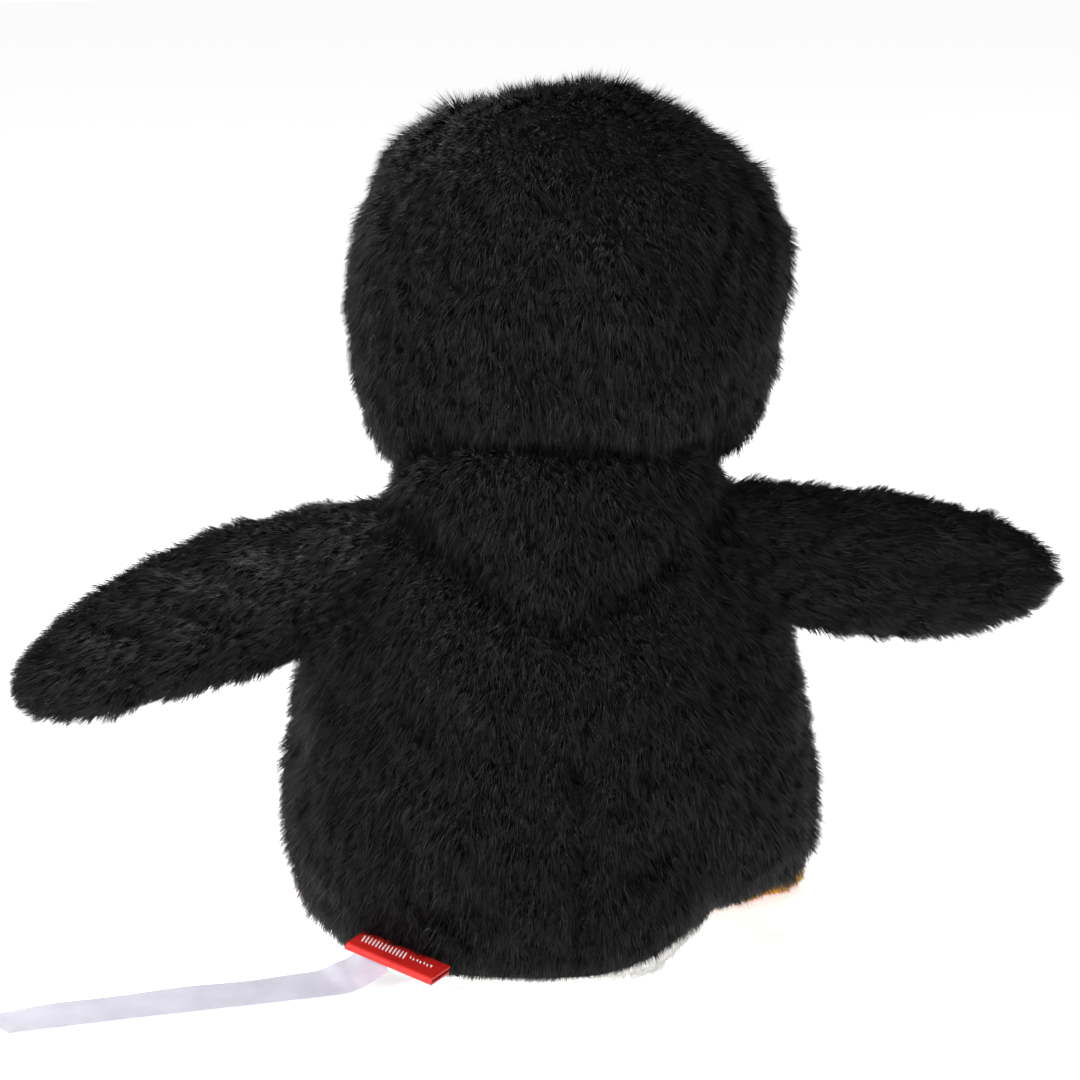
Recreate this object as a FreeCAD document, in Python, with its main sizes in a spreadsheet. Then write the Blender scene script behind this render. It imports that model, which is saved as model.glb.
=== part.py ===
"""A stuffed plush penguin, 245 mm tall, as its sewn panels, fillings, safety eyes and labels.

Millimetres, +Z up, the face looks along -Y, the penguin's left is +X.
The origin is the middle of the flat seat that it stands on.
Bodies that move: neck and head, two flippers, two feet and the satin care label.
"""
import FreeCAD, Part
import math
import os
from FreeCAD import Placement, Rotation, Vector

doc = FreeCAD.newDocument("plush_penguin")
sheet = doc.addObject("Spreadsheet::Sheet", "sizes")

SIZES = {
    # torso: a pear-shaped sack
    "body_width": 74.5,        # half widths and half depths, without the pile
    "body_depth": 59.0,
    "body_height": 130.0,      # from the seat to the neck opening
    "skin": 3.5,               # plush fabric, backing and pressed pile together
    "front_seam": 108.0,       # angle round the body from the back to the belly panel's seams
    # neck: a firm ball of filling that both the torso and the head bear on
    "neck_height": 135.0,
    "neck_ball": 26.0,
    "neck_gap": 0.4,
    # head
    "head_lean": 4.0,          # the head sits this far towards the penguin's right
    "head_width": 61.0,
    "head_depth": 55.0,
    "head_middle": 187.0,      # height where the head is widest
    "head_rise": 56.0,
    "head_drop": 80.0,
    "head_bottom": 140.0,
    "face_radius": 45.0,
    "face_middle": 184.0,
    # beak and safety eyes
    "beak_width": 13.0,
    "beak_height": 9.0,
    "beak_length": 19.0,
    "beak_middle": 176.0,
    "eye_radius": 5.5,
    "eye_dome": 3.6,
    "shank_radius": 2.0,
    "shank_length": 13.0,
    "washer_radius": 7.0,
    "washer_thick": 1.4,
    "washer_gap": 0.9,         # the skin is curved, so the flat washer bears on its middle only
    # flippers: flat paddles sewn in along the slanted side seams
    "shoulder_out": 63.0,
    "seam_slant": 27.3,
    "flipper_skin": 2.2,
    "flipper_thick": 9.5,
    "left_shoulder": 106.0,
    "left_reach": 84.0,
    "left_half": 24.0,
    "left_droop": 16.5,
    "right_shoulder": 109.0,
    "right_reach": 78.0,
    "right_half": 22.0,
    "right_droop": 5.0,
    # feet: flat pads sewn to the front of the seat, each turned out by its own angle
    "left_heel_out": 35.0,     # the left foot is turned out less than the right one
    "left_heel_ahead": 47.0,
    "left_foot_turn": 20.0,
    "right_heel_out": 42.7,
    "right_heel_ahead": 38.9,
    "right_foot_turn": 52.0,
    "foot_length": 43.0,
    "foot_width": 19.0,
    "foot_thick": 7.5,
    "foot_skin": 2.2,
    "sole_top": 3.4,
    "floor_gap": 0.6,
    # labels
    "tag_width": 27.0,
    "tag_length": 11.0,
    "tag_thick": 0.7,
    "tag_gap": 0.9,
    "ribbon_width": 14.0,
    "ribbon_thick": 0.4,
    # closing seam low on the back
    "stitch_radius": 0.5,
    "stitch_length": 5.0,
    "stitch_pitch": 6.5,
}
for row, (alias, value) in enumerate(SIZES.items(), start=1):
    sheet.set(f"A{row}", alias)
    sheet.set(f"B{row}", str(value))
    sheet.setAlias(f"B{row}", alias)
doc.recompute()

SIDES = (("left", 1), ("right", -1))
ROOM = 200.0                   # a length larger than any piece, for the cutting boxes


def size(alias):
    """The number that the sheet holds for an alias."""
    return float(sheet.get(alias))


def new(kind, name, **properties):
    """A document object whose string properties are expressions on the sheet."""
    piece = doc.addObject(kind, name)
    piece.Label = name
    for prop, value in properties.items():
        if isinstance(value, str):
            piece.setExpression(prop, value)
        else:
            setattr(piece, prop, value)
    return piece


def place(piece, x="0", y="0", z="0", rotation=Rotation()):
    """Puts a piece at a place given as expressions on the sheet."""
    piece.Placement = Placement(Vector(), rotation)
    for axis, rule in zip("xyz", (x, y, z)):
        if rule != "0":
            piece.setExpression(f"Placement.Base.{axis}", rule)
    return piece


def cut(name, base, tool):
    return new("Part::Cut", name, Base=base, Tool=tool)


def common(name, base, tool):
    return new("Part::Common", name, Base=base, Tool=tool)


def fuse(name, *pieces):
    return new("Part::MultiFuse", name, Shapes=list(pieces))


def box(name, x, y, z, wide=ROOM, deep=ROOM, tall=ROOM):
    """A cutting box from its lowest corner, given as expressions."""
    return place(new("Part::Box", name, Length=wide, Width=deep, Height=tall), x, y, z)


def loft(name, rings):
    return new("Part::Loft", name, Sections=rings, Solid=True, Ruled=False, MaxDegree=3)


# ---------------------------------------------------------------- torso
# each ring: share of the body's height, share of its width and depth
TORSO_RINGS = (
    (0.0, 0.60), (0.04, 0.76), (0.09, 0.87), (0.185, 0.955), (0.36, 1.0),
    (0.645, 0.915), (0.76, 0.845), (0.94, 0.685), (1.0, 0.61),
)
# the nape panel's outline seen from behind: its V points down the centre-back seam
NAPE_OUTLINE = ((0.0, 98.8), (40.5, 122.2), (40.5, 150.0), (-40.5, 150.0), (-40.5, 122.2))
NAPE_REACH = 85.0              # angle round the body that takes the whole nape panel in


def torso_ring(name, number, inset):
    up, wide = TORSO_RINGS[number]
    ring = new(
        "Part::Ellipse", f"{name}_ring_{number}",
        MajorRadius=f"sizes.body_width * {wide} - {inset} * sizes.skin",
        MinorRadius=f"sizes.body_depth * {wide} - {inset} * sizes.skin",
    )
    return place(ring, z=f"sizes.body_height * {up}")


def girth(height):
    """Share of the body's full width and depth at a height above the seat."""
    share = height / size("body_height")
    for (low, a), (high, b) in zip(TORSO_RINGS, TORSO_RINGS[1:]):
        if low <= share <= high:
            return a + (b - a) * (share - low) / (high - low)
    raise ValueError(f"{height} is outside the body")


def panel_outline(number, start, end):
    """A closed strip of the skin at one ring, between two angles round the body."""
    up, wide = TORSO_RINGS[number]
    middle = Vector(0, 0, size("body_height") * up)
    arcs = []
    for inset in (0, size("skin")):
        ellipse = Part.Ellipse(
            middle, size("body_width") * wide - inset, size("body_depth") * wide - inset)
        arcs.append(Part.ArcOfEllipse(ellipse, math.radians(start), math.radians(end)))
    outer, inner = arcs
    end = Part.LineSegment(outer.EndPoint, inner.EndPoint)
    start = Part.LineSegment(inner.StartPoint, outer.StartPoint)
    return Part.Wire([side.toShape() for side in (outer, end, inner, start)])


def make_panel(name, start, end):
    """A sewn strip of the torso, from the seat to the neck, between two angles round the body."""
    outlines = [panel_outline(number, start, end) for number in range(1, len(TORSO_RINGS))]
    panel = doc.addObject("Part::Feature", name)
    panel.Label = name
    panel.Shape = Part.makeLoft(outlines, True, False, False, 3)
    return panel


def make_torso():
    loft("base_panel", [torso_ring("base", number, 0) for number in (0, 1)])
    inside = [torso_ring("filling", number, 1.06) for number in range(1, len(TORSO_RINGS))]
    seam = size("front_seam")
    make_panel("belly_panel", 90 + seam, 450 - seam)
    corners = [Vector(x, 0, z) for x, z in NAPE_OUTLINE]
    zone = doc.addObject("Part::Feature", "nape_zone")
    zone.Shape = Part.Face(Part.makePolygon(corners + corners[:1])).extrude(Vector(0, ROOM, 0))
    common("nape_panel", make_panel("nape_strip", 90 - NAPE_REACH, 90 + NAPE_REACH), zone)
    cut("back_panel_left", make_panel("back_strip_left", 90 - seam, 90), zone)
    cut("back_panel_right", make_panel("back_strip_right", 90, 90 + seam), zone)
    return loft("torso_filling", inside)


def make_closing_stitches():
    """Short ladder stitches across the centre-back seam, from just over the seat to the waist."""
    stitches = []
    radius, wide = size("stitch_radius"), size("stitch_length")
    rise = 2 * size("stitch_pitch")
    while rise < size("body_height") / 2:
        start = Vector(-wide / 2, size("body_depth") * girth(rise) + radius, rise)
        stitches.append(Part.makeCylinder(radius, wide, start, Vector(1, 0, 0)))
        rise += size("stitch_pitch")
    thread = doc.addObject("Part::Feature", "closing_stitches")
    thread.Label = "closing_stitches"
    thread.Shape = Part.makeCompound(stitches)


# ---------------------------------------------------------------- neck and head
def ball(name, radius):
    return place(new("Part::Sphere", name, Radius=radius), z="sizes.neck_height")


def head_form(name, inset):
    """A dome over a deeper lower half, which is cut off flat at the neck."""
    drop = f"(sizes.head_drop - {inset} * sizes.skin)"
    halves = []
    for half, tall, low, high in (
        ("top", f"sizes.head_rise - {inset} * sizes.skin", 0.0, 90.0),
        ("low", drop, f"-asin((sizes.head_middle - sizes.head_bottom) / {drop})", 0.0),
    ):
        piece = new(
            "Part::Ellipsoid", f"{name}_{half}",
            Radius1=tall,
            Radius2=f"sizes.head_width - {inset} * sizes.skin",
            Radius3=f"sizes.head_depth - {inset} * sizes.skin",
            Angle1=low, Angle2=high,
        )
        halves.append(place(piece, x="-sizes.head_lean", z="sizes.head_middle"))
    return fuse(name, *halves)


def eye_seat(side, turn=24.0, lift=7.0):
    """Where an eye sits on the head's surface, and the outward direction there."""
    a, b, c = size("head_width"), size("head_depth"), size("head_rise")
    turn, lift = math.radians(turn), math.radians(lift)
    unit = Vector(
        side * math.sin(turn) * math.cos(lift), -math.cos(turn) * math.cos(lift), math.sin(lift))
    spot = Vector(a * unit.x - size("head_lean"), b * unit.y, c * unit.z + size("head_middle"))
    out = Vector(unit.x / a, unit.y / b, unit.z / c).normalize()
    return Placement(spot, Rotation(Vector(0, 0, 1), out))


def revolved(name, profile, seat):
    """A body turned about its own Z axis from the half outline in its XZ plane."""
    body = doc.addObject("PartDesign::Body", name)
    body.Label = name
    sketch = body.newObject("Sketcher::SketchObject", f"{name}_profile")
    plane = next(f for f in body.Origin.OriginFeatures if f.Role == "XZ_Plane")
    sketch.AttachmentSupport = [(plane, "")]
    sketch.MapMode = "FlatFace"
    profile(sketch)
    turn = body.newObject("PartDesign::Revolution", f"{name}_turn")
    turn.Profile = sketch
    turn.ReferenceAxis = (sketch, ["V_Axis"])
    turn.Angle = 360.0
    body.Placement = seat
    return body


def line(sketch, x1, y1, x2, y2):
    return sketch.addGeometry(Part.LineSegment(Vector(x1, y1, 0), Vector(x2, y2, 0)), False)


def eye_profile(sketch):
    """A low dome on a straight shank."""
    wide, tall = size("eye_radius"), size("eye_dome")
    shank, deep = size("shank_radius"), size("shank_length")
    radius = (wide ** 2 + tall ** 2) / (2 * tall)
    crown = Vector(0, tall, 0)
    rim = Vector(wide, 0, 0)
    middle = Vector(0, tall - radius, 0)
    half = math.atan2(rim.x, rim.y - middle.y) / 2
    shoulder = middle + Vector(math.sin(half), math.cos(half), 0) * radius
    sketch.addGeometry(Part.Arc(rim, shoulder, crown), False)
    corners = [(0, tall), (0, -deep), (shank, -deep), (shank, 0), (wide, 0)]
    for start, end in zip(corners, corners[1:]):
        line(sketch, *start, *end)


def washer_profile(sketch):
    inner, outer = size("shank_radius"), size("washer_radius")
    high = -size("skin") - size("washer_gap")
    low = high - size("washer_thick")
    corners = [(inner, low), (outer, low), (outer, high), (inner, high), (inner, low)]
    for start, end in zip(corners, corners[1:]):
        line(sketch, *start, *end)


def cylinder(name, radius, tall, seat, sink):
    """A cutting cylinder along an eye's axis, from a depth below the surface."""
    tool = new("Part::Cylinder", name, Radius=radius, Height=tall)
    tool.Placement = seat.multiply(Placement(Vector(0, 0, -sink), Rotation()))
    return tool


def make_head():
    outer = head_form("head_outer", 0)
    inside = head_form("head_inside", 1)
    shell = cut("head_shell", outer, inside)
    zone = new("Part::Cylinder", "face_zone", Radius="sizes.face_radius", Height=ROOM)
    place(zone, x="-sizes.head_lean", z="sizes.face_middle", rotation=Rotation(Vector(1, 0, 0), 90))
    face = common("face_plain", shell, zone)
    hood = cut("head_hood", shell, zone)
    for side, edge in (("left", "-sizes.head_lean"), ("right", f"-sizes.head_lean - {ROOM}")):
        zone = box(f"head_zone_{side}", edge, f"{-ROOM / 2}", "0", tall=2 * ROOM)
        common(f"head_panel_{side}", hood, zone)

    holes, pockets = [], []
    for side, sign in SIDES:
        seat = eye_seat(sign)
        revolved(f"eye_{side}", eye_profile, seat)
        revolved(f"eye_washer_{side}", washer_profile, seat)
        deep = size("shank_length") + 1.0
        holes.append(cylinder(f"eye_hole_{side}", "sizes.shank_radius", ROOM / 4, seat, deep))
        pockets.append(cylinder(f"eye_pocket_{side}", "sizes.washer_radius + 0.5", 2 * deep, seat, deep))
    cut("face_panel", face, fuse("eye_holes", *holes))
    socket = ball("head_socket", "sizes.neck_ball + sizes.neck_gap")
    cut("head_stuffing", inside, fuse("head_hollows", socket, *pockets))
    return outer


# each ring: share of the beak's length, share of its width and height
BEAK_RINGS = ((0.0, 1.0), (0.4, 0.86), (0.75, 0.56), (1.0, 0.16))


def make_beak(head):
    rings = []
    for number, (out, wide) in enumerate(BEAK_RINGS):
        ring = new(
            "Part::Ellipse", f"beak_ring_{number}",
            MajorRadius=f"sizes.beak_width * {wide}", MinorRadius=f"sizes.beak_height * {wide}",
        )
        rings.append(place(
            ring, x="-sizes.head_lean", y=f"4 - sizes.head_depth - {out} * sizes.beak_length",
            z=f"sizes.beak_middle - {2.5 * out}", rotation=Rotation(Vector(1, 0, 0), 90)))
    beak = cut("beak_whole", loft("beak_form", rings), head)
    under = box("mouth_zone", f"{-ROOM / 2}", f"{-ROOM}", f"sizes.beak_middle - 3 - {ROOM}")
    cut("beak_upper", beak, under)
    common("beak_lower", beak, under)


# ---------------------------------------------------------------- flippers
# each ring: share of the reach, of the half height, of the thickness
FLIPPER_RINGS = (
    (0.0, 1.0, 0.22), (0.17, 0.99, 0.85), (0.45, 0.93, 1.0),
    (0.72, 0.78, 0.92), (0.9, 0.54, 0.7), (1.0, 0.24, 0.34),
)


def flipper_form(name, side, sign, inset):
    """A paddle: rings from the slanted seam out to the tip, all parallel to the seam."""
    along_seam = Rotation(Vector(0, 1, 0), -90 - sign * size("seam_slant"))
    rings = []
    for number, (out, tall, thick) in enumerate(FLIPPER_RINGS):
        if inset and number == 0:
            continue
        ring = new(
            "Part::Ellipse", f"{name}_ring_{number}",
            MajorRadius=f"sizes.{side}_half * {tall} - {inset} * sizes.flipper_skin",
            MinorRadius=f"sizes.flipper_thick * {thick} - {inset} * sizes.flipper_skin",
        )
        reach = f"sizes.{side}_reach * {out if out < 1.0 or not inset else 0.97}"
        rings.append(place(
            ring, x=f"{sign} * (sizes.shoulder_out + {reach})",
            z=f"sizes.{side}_shoulder - {reach} * tan(sizes.{side}_droop * 1deg)",
            rotation=along_seam))
    return loft(name, rings)


def make_flipper(side, sign):
    outer = flipper_form(f"flipper_outer_{side}", side, sign, 0)
    inside = flipper_form(f"flipper_stuffing_{side}", side, sign, 1)
    shell = cut(f"flipper_shell_{side}", outer, inside)
    behind = box(f"flipper_zone_{side}", f"{-ROOM}", "0", "0", wide=2 * ROOM)
    common(f"flipper_back_{side}", shell, behind)
    cut(f"flipper_front_{side}", shell, behind)


# ---------------------------------------------------------------- feet
# each ring: share of the length, of the half width, of the half thickness
FOOT_RINGS = (
    (0.0, 0.55, 0.5), (0.25, 0.82, 0.88), (0.58, 1.0, 1.0), (0.84, 0.86, 0.82), (1.0, 0.42, 0.4),
)


def foot_form(name, side, sign, inset):
    """A pad that is flat on its underside's line, widest near the toes."""
    turn = size(f"{side}_foot_turn")
    ahead = (sign * math.sin(math.radians(turn)), -math.cos(math.radians(turn)))
    heading = Rotation(Vector(0, 0, 1), sign * turn) * Rotation(Vector(1, 0, 0), 90)
    rings = []
    for number, (out, wide, tall) in enumerate(FOOT_RINGS):
        ring = new(
            "Part::Ellipse", f"{name}_ring_{number}",
            MajorRadius=f"sizes.foot_width * {wide} - {inset} * sizes.foot_skin",
            MinorRadius=f"sizes.foot_thick * {tall} - {0.8 * inset} * sizes.foot_skin",
        )
        shift = {0: 0.06, len(FOOT_RINGS) - 1: -0.05}.get(number, 0.0) * inset
        far = f"{out + shift} * sizes.foot_length"
        rings.append(place(
            ring, x=f"{sign} * sizes.{side}_heel_out + {ahead[0]} * {far}",
            y=f"-sizes.{side}_heel_ahead + {ahead[1]} * {far}",
            z=f"sizes.floor_gap + sizes.foot_thick * {tall}", rotation=heading))
    return loft(name, rings)


def make_foot(side, sign):
    outer = foot_form(f"foot_outer_{side}", side, sign, 0)
    inside = foot_form(f"foot_stuffing_{side}", side, sign, 1)
    shell = cut(f"foot_shell_{side}", outer, inside)
    low = box(f"sole_zone_{side}", f"{-ROOM}", f"{-ROOM}", f"sizes.sole_top - {ROOM}",
              wide=2 * ROOM, deep=2 * ROOM)
    common(f"foot_sole_{side}", shell, low)
    cut(f"foot_top_{side}", shell, low)


# ---------------------------------------------------------------- labels
TAG_SPOT = Vector(46.0, 37.2, 10.5)         # middle of the tag's sewn edge, in the seat seam
TAG_TURN = 55.0                             # degrees from +X to the way the tag points out
TAG_TIP = 15.0                              # how far its width tips down towards the middle
TAG_DROOP = 5.0                             # how far it hangs down from the seam


def make_loop_tag():
    """A woven strip folded into a flat loop, its two ends sewn into the seam."""
    thick, gap = size("tag_thick"), size("tag_gap")
    half = thick + gap / 2
    length, wide = size("tag_length"), size("tag_width")
    outside = Part.makeBox(length - half, wide, 2 * half, Vector(0, -wide / 2, -half))
    bend = Part.makeCylinder(half, wide, Vector(length - half, -wide / 2, 0), Vector(0, 1, 0))
    slot = Part.makeBox(length - half, wide, gap, Vector(0, -wide / 2, -gap / 2))
    eye = Part.makeCylinder(gap / 2, wide, Vector(length - half, -wide / 2, 0), Vector(0, 1, 0))
    loop = outside.fuse(bend).cut(slot.fuse(eye)).removeSplitter()
    tag = doc.addObject("Part::Feature", "loop_tag")
    tag.Label = "loop_tag"
    tag.Shape = loop
    tag.Placement = tag_frame()
    return tag


def tag_frame():
    aim = Rotation(Vector(0, 0, 1), TAG_TURN) * Rotation(Vector(1, 0, 0), -TAG_TIP)
    return Placement(TAG_SPOT, aim * Rotation(Vector(0, 1, 0), TAG_DROOP))


# the ribbon's middle line, and the way its width tips: x, y, z, degrees
SEWN_END = ((53.5, 33.0, 5.6, -12.0), (60.0, 34.3, 2.6, -6.0), (65.6, 35.6, 0.45, 0.0))
FREE_END = ((66.3, 35.75, 0.45, 0.0), (110.0, 46.0, 0.45, 0.0), (160.5, 59.0, 0.45, 0.0))


def make_ribbon(name, route):
    """A stretch of the satin ribbon: it leaves the tag and lies on the floor beside the seat."""
    wide, thick = size("ribbon_width") / 2, size("ribbon_thick") / 2
    wires = []
    points = [Vector(*stop[:3]) for stop in route]
    for number, (point, stop) in enumerate(zip(points, route)):
        ahead = points[min(number + 1, len(points) - 1)] - points[max(number - 1, 0)]
        ahead.normalize()
        across = Rotation(ahead, stop[3]).multVec(ahead.cross(Vector(0, 0, 1)).normalize())
        up = across.cross(ahead).normalize()
        corners = [point + across * wide * i + up * thick * k
                   for i, k in ((-1, -1), (1, -1), (1, 1), (-1, 1), (-1, -1))]
        wires.append(Part.makePolygon(corners))
    ribbon = doc.addObject("Part::Feature", name)
    ribbon.Label = name
    ribbon.Shape = Part.makeLoft(wires, True, True)


# ---------------------------------------------------------------- the whole toy
filling = make_torso()
doc.recompute()
make_closing_stitches()
make_loop_tag()
make_ribbon("care_label_sewn_end", SEWN_END)
make_ribbon("care_label", FREE_END)
cut("body_stuffing", filling, ball("torso_socket", "sizes.neck_ball + sizes.neck_gap"))
ball("neck_stuffing", "sizes.neck_ball")
head = make_head()
make_beak(head)
for side, sign in SIDES:
    make_flipper(side, sign)
    make_foot(side, sign)
doc.recompute()

NODES = [
    "back_panel_left", "back_panel_right", "nape_panel", "belly_panel", "base_panel",
    "body_stuffing", "closing_stitches", "loop_tag", "care_label_sewn_end", "care_label",
    "neck_stuffing",
    "head_panel_left", "head_panel_right", "face_panel", "head_stuffing",
    "beak_upper", "beak_lower",
]
for side, sign in SIDES:
    NODES += [f"{part}_{side}" for part in (
        "eye", "eye_washer", "flipper_back", "flipper_front", "flipper_stuffing",
        "foot_top", "foot_sole", "foot_stuffing")]

for item in doc.Objects:
    if {"Invalid", "Error"} & set(item.State):
        raise RuntimeError(f"{item.Label} could not be built: {item.State}")

os.makedirs("parts", exist_ok=True)
for node in NODES:
    shape = doc.getObjectsByLabel(node)[0].Shape
    if shape.isNull() or not shape.isValid():
        raise RuntimeError(f"{node} is not a valid solid")
    print(f"{node:24s} {shape.Volume / 1000:9.3f} cm3  solids {len(shape.Solids)}")
    shape.exportStep(f"parts/{node}.step")
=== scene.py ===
"""The looks of the stuffed plush penguin: fur panels with real strands, stitched face and feet, labels.

Metres, +Z up, the face looks along -Y, the penguin's left is +X. Skins are made in millimetres and
scaled on the way into Blender, because the toy's own measures are in millimetres.
"""
import math

import bpy
import numpy as np
from mathutils import Matrix, Vector


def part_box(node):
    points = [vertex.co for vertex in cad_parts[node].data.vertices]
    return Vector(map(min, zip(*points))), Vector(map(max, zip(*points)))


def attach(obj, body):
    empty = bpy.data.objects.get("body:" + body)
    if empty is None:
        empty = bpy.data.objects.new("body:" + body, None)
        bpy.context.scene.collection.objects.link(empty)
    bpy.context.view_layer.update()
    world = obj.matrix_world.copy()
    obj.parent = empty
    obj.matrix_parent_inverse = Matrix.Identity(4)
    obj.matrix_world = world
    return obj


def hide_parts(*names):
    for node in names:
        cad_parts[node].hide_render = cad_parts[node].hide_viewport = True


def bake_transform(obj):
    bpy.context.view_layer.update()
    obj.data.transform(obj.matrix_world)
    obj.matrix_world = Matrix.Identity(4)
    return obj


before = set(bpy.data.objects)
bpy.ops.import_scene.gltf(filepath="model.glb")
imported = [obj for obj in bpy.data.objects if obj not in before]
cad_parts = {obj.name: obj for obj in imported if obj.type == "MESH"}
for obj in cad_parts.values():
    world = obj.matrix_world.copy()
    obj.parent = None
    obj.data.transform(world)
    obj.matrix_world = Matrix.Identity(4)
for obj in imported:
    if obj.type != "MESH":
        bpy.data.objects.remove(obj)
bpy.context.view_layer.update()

MM = 0.001
STRAND_SHARE = 1.0
TUFT = 0.3                     # how far neighbouring strands lean together
LOWEST_STRAND = 0.25           # no strand reaches lower than this over the floor
STRAND_TONES = np.array([0.62, 0.28, 0.10])    # how much of the pile each tone has


# ---------------------------------------------------------------- small numeric helpers
def smooth(low, high, value):
    """0 below low, 1 above high, with a soft step between; low may be the larger."""
    t = np.clip((np.asarray(value, float) - low) / (high - low), 0, 1)
    return t * t * (3 - 2 * t)


def bell(distance, width):
    return np.exp(-0.5 * (np.asarray(distance, float) / width) ** 2)


def unit(vectors):
    return vectors / np.maximum(np.linalg.norm(vectors, axis=-1, keepdims=True), 1e-9)


def waves(points, scale, seed, count=14):
    """A smooth random field of vectors at points, about -1 to 1, that varies over scale millimetres."""
    rng = np.random.default_rng(seed)
    ways = unit(rng.normal(size=(count, 3))) * 2 * math.pi / scale * rng.uniform(0.6, 1.5, (count, 1))
    phases = rng.uniform(0, 2 * math.pi, (3, count))
    along = points @ ways.T
    return np.stack([np.sin(along + phase).sum(1) for phase in phases], 1) / math.sqrt(count / 2)


def curve(stops, places):
    """A smooth curve through (place, value) stops, read at places."""
    where = np.array([s[0] for s in stops], float)
    value = np.array([s[1] for s in stops], float)
    gap = np.diff(where)
    slope = np.diff(value) / gap
    inner = np.where(slope[:-1] * slope[1:] > 0,
                     2 * slope[:-1] * slope[1:] / np.where(np.abs(slope[:-1] + slope[1:]) < 1e-9, 1,
                                                         slope[:-1] + slope[1:]), 0)
    bend = np.concatenate([[slope[0]], inner, [slope[-1]]])
    places = np.clip(places, where[0], where[-1])
    k = np.clip(np.searchsorted(where, places, side="right") - 1, 0, len(gap) - 1)
    t = (places - where[k]) / gap[k]
    h00, h10 = (1 + 2 * t) * (1 - t) ** 2, t * (1 - t) ** 2
    h01, h11 = t * t * (3 - 2 * t), t * t * (t - 1)
    return h00 * value[k] + h10 * gap[k] * bend[k] + h01 * value[k + 1] + h11 * gap[k] * bend[k + 1]


def profile(stations, k, places):
    """The smooth curve of the k-th measure of (place, measure, ...) stations, read at places."""
    return curve([(s[0], s[k]) for s in stations], places)


def round_about(columns):
    return np.linspace(0, 2 * math.pi, columns, endpoint=False)


def to_line(x, z, line):
    """Distance in the XZ plane from points to a polyline of (x, z) corners."""
    best = np.full(np.shape(x), 1e9)
    for (x1, z1), (x2, z2) in zip(line, line[1:]):
        dx, dz = x2 - x1, z2 - z1
        t = np.clip(((x - x1) * dx + (z - z1) * dz) / (dx * dx + dz * dz), 0, 1)
        best = np.minimum(best, np.hypot(x - x1 - t * dx, z - z1 - t * dz))
    return best


# ---------------------------------------------------------------- skins
class Skin:
    """A closed grid of points round a form: rows along it, columns round it."""

    def __init__(self, points):
        self.rows, self.columns = points.shape[:2]
        self.points = points.reshape(-1, 3)
        row = np.arange(self.rows - 1)[:, None] * self.columns
        column = np.arange(self.columns)[None, :]
        beside = (column + 1) % self.columns
        self.quads = np.stack(
            [row + column, row + beside, row + self.columns + beside, row + self.columns + column], -1
        ).reshape(-1, 4)
        self.fix_normals()
        middle = points.mean(1, keepdims=True).repeat(self.columns, 1).reshape(-1, 3)
        if (self.normals * (self.points - middle)).sum() < 0:
            self.quads = self.quads[:, ::-1]
            self.fix_normals()

    def fix_normals(self):
        corner = self.points[self.quads]
        face = np.cross(corner[:, 2] - corner[:, 0], corner[:, 3] - corner[:, 1])
        normal = np.zeros_like(self.points)
        for k in range(4):
            np.add.at(normal, self.quads[:, k], face)
        self.normals = unit(normal)

    def push(self, amount):
        """Moves every point along its normal by an amount in millimetres."""
        self.points = self.points + self.normals * np.asarray(amount)[:, None]
        self.fix_normals()

    def centres(self):
        return self.points[self.quads].mean(1)

    def shrunk(self, inset):
        """A closed skin inside this one, for what the panels are stuffed with."""
        grid = (self.points - self.normals * inset).reshape(self.rows, self.columns, 3)
        ends = [grid[k].mean(0) * 0.99 + grid[k] * 0.01 for k in (0, -1)]
        return Skin(np.concatenate([ends[0][None], grid, ends[1][None]]))

    def cut(self, chosen):
        """The chosen faces as a plain mesh: points, quads, normals."""
        quads = self.quads[chosen]
        used, back = np.unique(quads, return_inverse=True)
        return self.points[used], back.reshape(-1, 4), self.normals[used]


def make_mesh(name, points, faces, material, smooth_faces=True):
    """A mesh object from millimetre points and a rectangular array of faces."""
    mesh = bpy.data.meshes.new(name)
    count, corners = faces.shape
    mesh.vertices.add(len(points))
    mesh.vertices.foreach_set("co", (points * MM).astype(np.float32).ravel())
    mesh.loops.add(count * corners)
    mesh.loops.foreach_set("vertex_index", faces.astype(np.int32).ravel())
    mesh.polygons.add(count)
    mesh.polygons.foreach_set("loop_start", np.arange(0, count * corners, corners, dtype=np.int32))
    mesh.polygons.foreach_set("use_smooth", np.full(count, smooth_faces))
    mesh.update(calc_edges=True)
    mesh.validate()
    piece = bpy.data.objects.new(name, mesh)
    bpy.context.scene.collection.objects.link(piece)
    mesh.materials.append(material)
    return piece


def make_cover(name, skin, chosen, material, thick=1.0):
    """A fabric panel: the chosen faces, given their backing's thickness inwards."""
    points, quads, normals = skin.cut(chosen)
    inner = points - normals * thick
    count = len(points)
    edges = np.concatenate([quads[:, [k, (k + 1) % 4]] for k in range(4)])
    key = np.sort(edges, 1)
    _, first, times = np.unique(key[:, 0] * count + key[:, 1], return_index=True, return_counts=True)
    rim = edges[first[times == 1]]
    walls = np.stack([rim[:, 1], rim[:, 0], rim[:, 0] + count, rim[:, 1] + count], 1)
    faces = np.concatenate([quads, quads[:, ::-1] + count, walls])
    return make_mesh(name, np.concatenate([points, inner]), faces, material)


def make_filling(name, skin, inset, node):
    """The stuffing inside a skin."""
    inner = skin.shrunk(inset)
    piece = make_mesh(name, inner.points, inner.quads, FIBRE)
    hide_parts(node)
    return piece


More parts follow.
